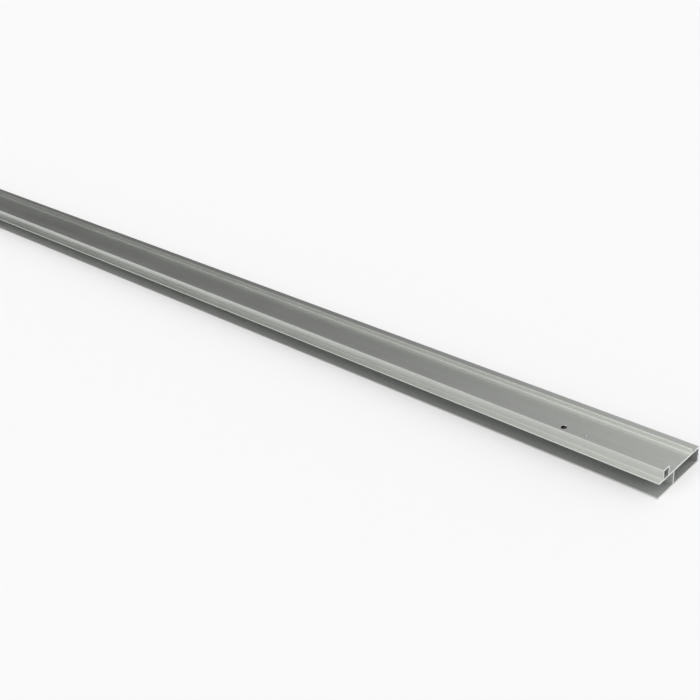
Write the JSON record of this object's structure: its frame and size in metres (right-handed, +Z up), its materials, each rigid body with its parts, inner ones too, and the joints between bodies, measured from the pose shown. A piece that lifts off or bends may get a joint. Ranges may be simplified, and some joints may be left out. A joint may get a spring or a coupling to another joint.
{
  "type": "aluminium extrusion profile",
  "caption": "Long flat hollow aluminium edge profile with a side panel slot, a closed chamber, a small square tube and a low fin on top, and a screw hole near one end.",
  "frame": {"origin": "under the middle of the bar, on the flat face it lies on", "axes": "+X along the bar towards the sawn end with the screw hole, +Y from the slot's mouth to the closed side, +Z up"},
  "size_m": [2, 0.06, 0.023],
  "materials": {
    "mill_aluminium": "satin mill finish with fine lengthwise die lines"
  },
  "bodies": {
    "root": {"edge_profile": "mill_aluminium"}
  },
  "joints": []
}
